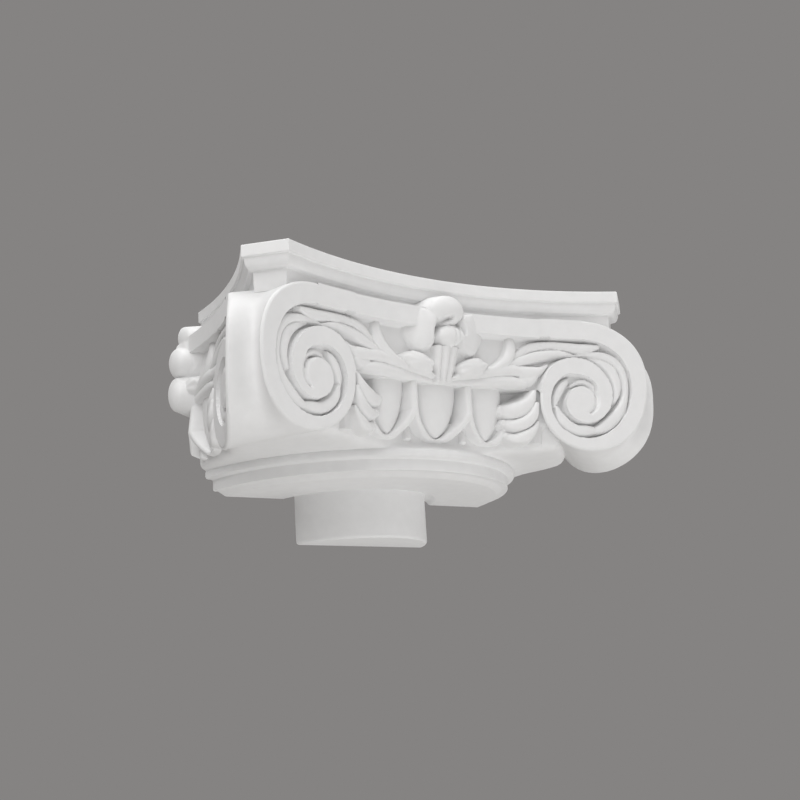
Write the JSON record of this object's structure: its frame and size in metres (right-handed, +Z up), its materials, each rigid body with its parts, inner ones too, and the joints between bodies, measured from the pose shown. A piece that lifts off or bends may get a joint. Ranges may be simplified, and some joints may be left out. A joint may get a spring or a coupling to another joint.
{
  "type": "half column capital",
  "caption": "Half capital for an engaged column, with corner volutes, a concave abacus, egg and leaf carving, a flower on each face and a spigot below.",
  "frame": {"origin": "on the flat back that meets the wall, in the middle of its width, level with the underside of the neck where the shaft ends; the column's axis is 14 mm behind it", "axes": "+Y out of the flat back into the wall, so the carved front faces -Y; +Z up along the column; +X to the right of someone facing the front"},
  "size_m": [0.3874, 0.1761, 0.187],
  "materials": {
    "white_moulding": "smooth matt white primer on moulded rigid foam"
  },
  "bodies": {
    "root": {"capital": "white_moulding"}
  },
  "joints": []
}
